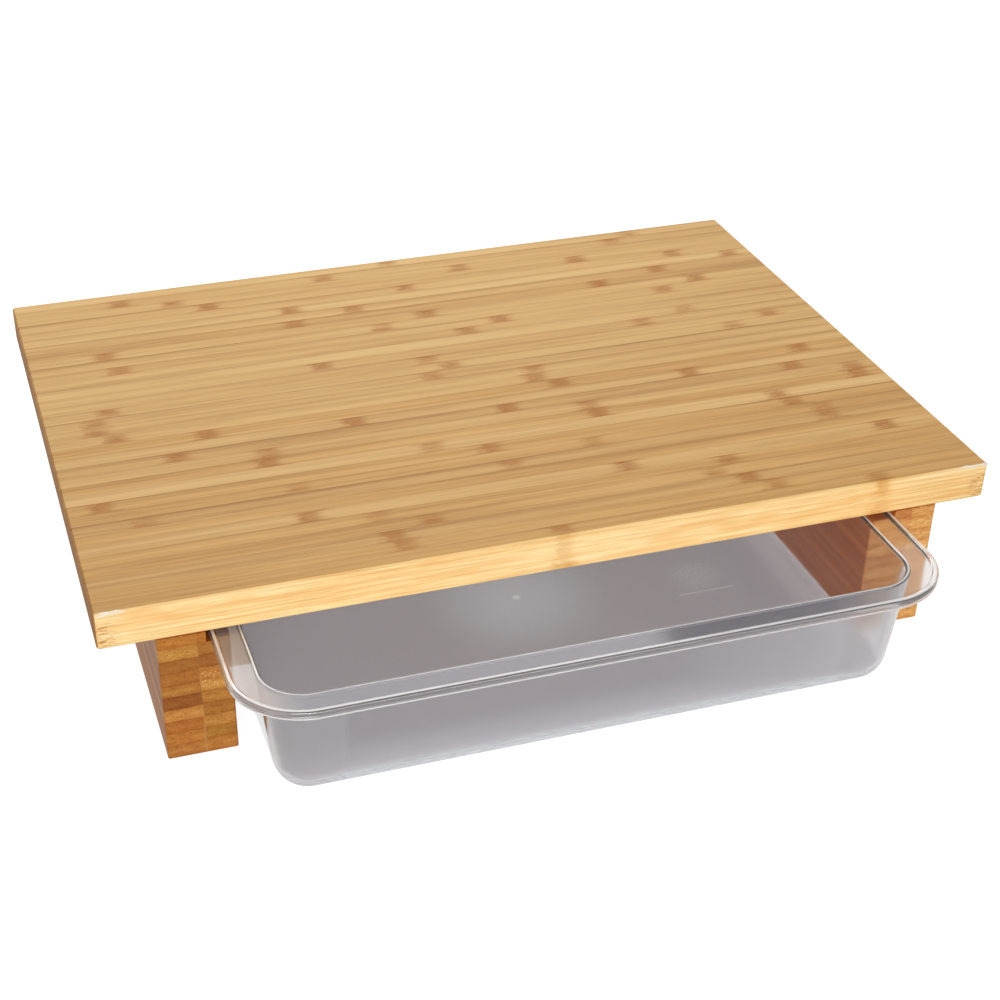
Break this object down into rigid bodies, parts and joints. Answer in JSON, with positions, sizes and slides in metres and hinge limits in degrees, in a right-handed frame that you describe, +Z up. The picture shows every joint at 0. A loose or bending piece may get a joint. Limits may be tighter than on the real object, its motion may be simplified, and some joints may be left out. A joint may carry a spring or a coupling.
{
  "type": "cutting board with a drawer tray",
  "caption": "Laminated bamboo cutting board on legs, with a clear catering pan that slides out between them on milled rebates.",
  "frame": {"origin": "on the table, in the middle of the footprint with the tray drawn out as modelled", "axes": "+X to the right along the strips, +Y to the back, +Z up; the tray slides out along -Y"},
  "size_m": [0.42, 0.3746, 0.083],
  "materials": {
    "bamboo_pale": "sanded and oiled",
    "bamboo_honey": "sanded and oiled",
    "bamboo_tan": "sanded and oiled",
    "bamboo_amber": "sanded and oiled",
    "bamboo_brown": "sanded and oiled",
    "beech": "turned, bare",
    "clear_polycarbonate": "moulded, clear, lightly frosted body"
  },
  "bodies": {
    "stand": {"board_strip_01": "bamboo_pale", "board_strip_02": "bamboo_tan", "board_strip_03": "bamboo_tan", "board_strip_04": "bamboo_tan", "board_strip_05": "bamboo_honey", "board_strip_06": "bamboo_pale", "board_strip_07": "bamboo_honey", "board_strip_08": "bamboo_honey", "board_strip_09": "bamboo_honey", "board_strip_10": "bamboo_pale", "board_strip_11": "bamboo_honey", "board_strip_12": "bamboo_pale", "board_strip_13": "bamboo_tan", "board_strip_14": "bamboo_tan", "board_strip_15": "bamboo_tan", "board_strip_16": "bamboo_honey", "board_strip_17": "bamboo_pale", "board_strip_18": "bamboo_honey", "board_strip_19": "bamboo_honey", "board_strip_20": "bamboo_honey", "board_strip_21": "bamboo_pale", "board_strip_22": "bamboo_honey", "board_strip_23": "bamboo_pale", "board_strip_24": "bamboo_tan", "board_strip_25": "bamboo_tan", "board_strip_26": "bamboo_tan", "board_strip_27": "bamboo_honey", "board_strip_28": "bamboo_pale", "board_strip_29": "bamboo_honey", "board_strip_30": "bamboo_honey", "board_strip_31": "bamboo_honey", "board_strip_32": "bamboo_pale", "board_strip_33": "bamboo_honey", "board_strip_34": "bamboo_pale", "board_strip_35": "bamboo_tan", "left_leg_outer_strips": "bamboo_amber", "left_leg_inner_strips": "bamboo_brown", "left_leg_dowel_1": "beech", "left_leg_dowel_2": "beech", "left_leg_dowel_3": "beech", "right_leg_outer_strips": "bamboo_amber", "right_leg_inner_strips": "bamboo_brown", "right_leg_dowel_1": "beech", "right_leg_dowel_2": "beech", "right_leg_dowel_3": "beech"},
    "tray": {"tray": "clear_polycarbonate"}
  },
  "joints": [
    {"name": "tray_slide", "type": "slide", "parent": "stand", "child": "tray", "axis": [0, -1, 0], "range_m": [-0.0665, 0.2015]}
  ]
}
